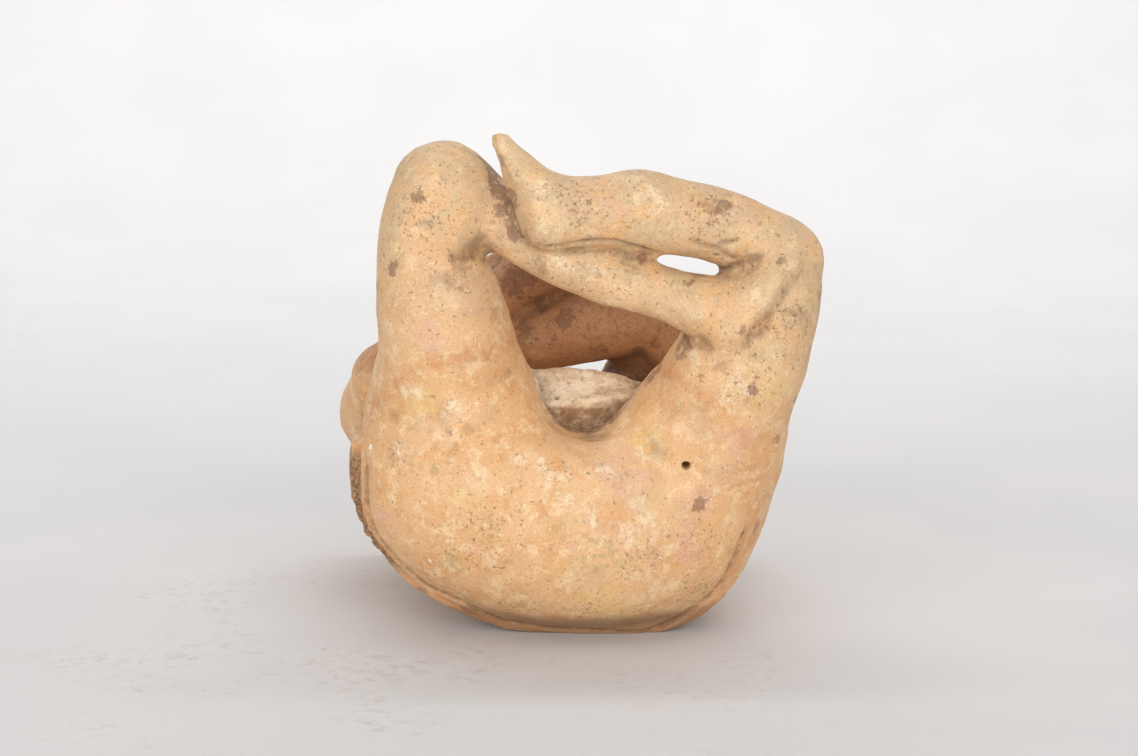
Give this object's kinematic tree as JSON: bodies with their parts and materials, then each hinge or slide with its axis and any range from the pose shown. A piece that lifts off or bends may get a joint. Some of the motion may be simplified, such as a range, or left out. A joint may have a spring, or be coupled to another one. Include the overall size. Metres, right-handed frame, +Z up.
{
  "type": "seated figurine",
  "caption": "Hollow fired-clay figurine of a cross-legged seated figure in a cape, laid on its back with its underside forward.",
  "frame": {"origin": "centre of the bounding box in plan, on the surface the figure lies on", "axes": "+Y from the seat to the crown of the head, +Z up from the figure's back to its knees, +X to the right as one looks at the underside of the seat"},
  "size_m": [0.2354, 0.3092, 0.2399],
  "materials": {
    "burnished_clay": "satin"
  },
  "bodies": {
    "root": {"seated_figure": "burnished_clay"}
  },
  "joints": []
}
